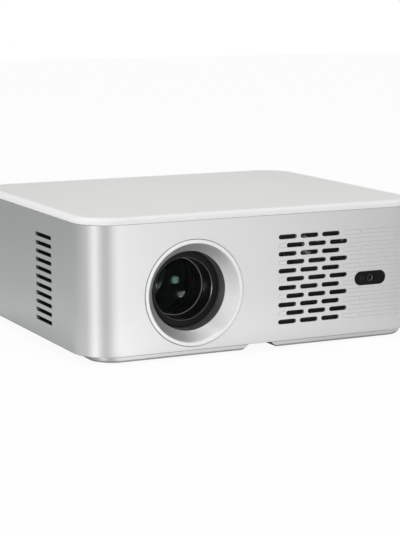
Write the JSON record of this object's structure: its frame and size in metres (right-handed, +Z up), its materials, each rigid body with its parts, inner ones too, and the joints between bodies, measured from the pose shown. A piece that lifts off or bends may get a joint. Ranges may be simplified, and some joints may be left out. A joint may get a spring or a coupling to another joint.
{
  "type": "projector",
  "caption": "Compact home projector: silver wrap-around shell, white-rimmed grey top, dished round lens bezel, staggered front vent, pill-shaped sensor window, focusing lens, fold-out foot.",
  "frame": {"origin": "on the surface that the feet stand on, under the middle of the body", "axes": "+Z up, the lens looks along -Y, +X to the right seen from the front"},
  "size_m": [0.264, 0.2214, 0.101],
  "materials": {
    "silver_paint": "satin silver paint",
    "white_plastic": "smooth satin",
    "grey_panel": "fine matte grain",
    "black_plastic": "fine matte",
    "dark_plastic": "fine matte",
    "black_gloss": "polished, smoked",
    "rubber": "matte",
    "steel": "plated",
    "brass": "turned",
    "aluminium": "as extruded",
    "optical_glass": "coated, polished",
    "mirror_coat": "front surface",
    "board": "green lacquer",
    "foam": "open cell"
  },
  "bodies": {
    "case": {"wrap_shell": "silver_paint", "top_cover": "white_plastic", "top_inlay": "grey_panel", "bottom_cover": "silver_paint", "tripod_insert": "brass", "lens_bezel": "silver_paint", "lens_tube": "black_plastic", "motor_bracket": "steel", "focus_motor": "steel", "sensor_window": "black_gloss", "focus_camera": "black_plastic", "range_sensor": "black_plastic", "sensor_board": "board", "intake_filter": "foam", "engine_housing": "black_plastic", "engine_lid": "black_plastic", "image_fresnel": "optical_glass", "lcd_panel": "black_gloss", "lamp_fresnel": "optical_glass", "fold_mirror": "mirror_coat", "condenser_lens": "optical_glass", "lamp_board": "brass", "lamp_heatsink": "aluminium", "front_fan_frame": "black_plastic", "lamp_fan_frame": "black_plastic", "main_board": "board", "processor_heatsink": "aluminium", "power_board": "board", "transformer": "dark_plastic", "mains_capacitor": "aluminium", "rear_panel": "dark_plastic", "remote_window": "black_gloss", "power_switch": "black_plastic", "usb_socket": "steel", "hdmi_socket": "steel", "audio_jack": "black_plastic", "mains_inlet": "black_plastic", "speaker_left": "black_plastic", "speaker_right": "black_plastic", "foot_front_left": "rubber", "case_screw_front_left": "steel", "foot_front_right": "rubber", "case_screw_front_right": "steel", "foot_rear_left": "rubber", "case_screw_rear_left": "steel", "foot_rear_right": "rubber", "case_screw_rear_right": "steel"},
    "focus_barrel": {"lens_barrel": "black_plastic", "front_lens": "optical_glass", "spacer_ring": "black_plastic", "rear_lens": "optical_glass", "retaining_ring": "black_plastic"},
    "focus_gear": {"focus_ring": "black_plastic"},
    "motor_pinion": {"focus_pinion": "brass"},
    "button": {"power_button": "silver_paint"},
    "tilt_leg": {"tilt_foot": "silver_paint", "tilt_foot_pin": "steel"},
    "front_rotor": {"front_fan_rotor": "dark_plastic"},
    "lamp_rotor": {"lamp_fan_rotor": "dark_plastic"}
  },
  "joints": [
    {"name": "focus_ring_turn", "type": "hinge", "parent": "case", "child": "focus_gear", "pos_m": [-0.05251, -0.041, 0.046], "axis": [0, -1, 0], "range_deg": [-36.1, 54.1]},
    {"name": "focus_slide", "type": "slide", "parent": "case", "child": "focus_barrel", "axis": [0, -1, 0], "range_m": [-0.004, 0.006]},
    {"name": "focus_pinion_turn", "type": "hinge", "parent": "case", "child": "motor_pinion", "pos_m": [-0.00876, -0.041, 0.046], "axis": [0, -1, 0], "range_deg": [-216.2, 144.2]},
    {"name": "power_button_press", "type": "slide", "parent": "case", "child": "button", "axis": [0, -1, 0], "range_m": [0, 0.0012], "stiffness_N_per_m": 700, "springref_m": -0.001},
    {"name": "tilt_foot_hinge", "type": "hinge", "parent": "case", "child": "tilt_leg", "pos_m": [0, -0.044, 0.0041], "axis": [1, 0, 0], "range_deg": [0, 100]},
    {"name": "front_fan_spin", "type": "hinge", "parent": "case", "child": "front_rotor", "pos_m": [0.04069, -0.0901, 0.05], "axis": [0, -1, 0], "continuous": true},
    {"name": "lamp_fan_spin", "type": "hinge", "parent": "case", "child": "lamp_rotor", "pos_m": [0.08689, 0.032, 0.046], "axis": [1, 0, 0], "continuous": true}
  ],
  "couplings": [
    {"joint": "focus_ring_turn", "follows": "focus_slide", "rad_per_m": 157.08},
    {"joint": "focus_pinion_turn", "follows": "focus_slide", "rad_per_m": -628.32}
  ]
}
